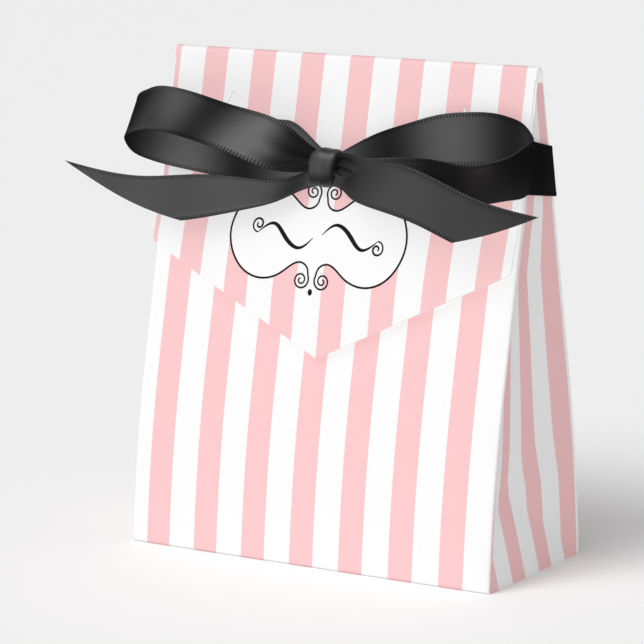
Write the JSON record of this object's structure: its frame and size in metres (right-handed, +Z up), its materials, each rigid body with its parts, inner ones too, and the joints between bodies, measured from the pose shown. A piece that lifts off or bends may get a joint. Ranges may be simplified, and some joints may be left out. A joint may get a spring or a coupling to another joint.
{
  "type": "favour box with ribbon",
  "caption": "Small tent-shaped striped card favour box with a pointed closure flap, pushed-in side gussets and a tied satin ribbon bow.",
  "frame": {"origin": "centre of the base panel's underside", "axes": "+Z up from the base to the ridge; the closure flap and the bow are on the -Y side; +X is the box's width"},
  "size_m": [0.136, 0.0484, 0.1229],
  "materials": {
    "striped_card": "matt coated card with printed stripes",
    "card_inside": "matt uncoated card",
    "satin_ribbon": "satin weave"
  },
  "bodies": {
    "box": {"base_panel": "striped_card", "front_panel": "striped_card", "back_panel": "striped_card", "right_gusset": "striped_card", "left_gusset": "striped_card", "right_gusset_foot": "striped_card", "left_gusset_foot": "striped_card", "right_side_glue_tab": "card_inside", "left_side_glue_tab": "card_inside", "right_base_glue_tab": "card_inside", "left_base_glue_tab": "card_inside"},
    "flap": {"ridge_fold": "striped_card", "closure_flap": "striped_card"},
    "ribbon": {"ribbon_band_back": "satin_ribbon", "right_ribbon_band_side": "satin_ribbon", "left_ribbon_band_side": "satin_ribbon", "ribbon_band_front_left": "satin_ribbon", "ribbon_band_front_right": "satin_ribbon", "ribbon_knot": "satin_ribbon", "ribbon_left_loop": "satin_ribbon", "ribbon_right_loop": "satin_ribbon", "ribbon_left_tail": "satin_ribbon", "ribbon_right_tail": "satin_ribbon"}
  },
  "joints": [
    {"name": "flap_open", "type": "hinge", "parent": "box", "child": "flap", "pos_m": [0, 0.00086, 0.12187], "axis": [-1, 0, 0], "range_deg": [0, 170]},
    {"name": "ribbon_lift", "type": "slide", "parent": "box", "child": "ribbon", "axis": [0, -0.2096, 0.9778], "range_m": [0, 0.27]}
  ],
  "couplings": [
    {"joint": "ribbon_lift", "follows": "flap_open", "m_per_rad": 0.09}
  ]
}
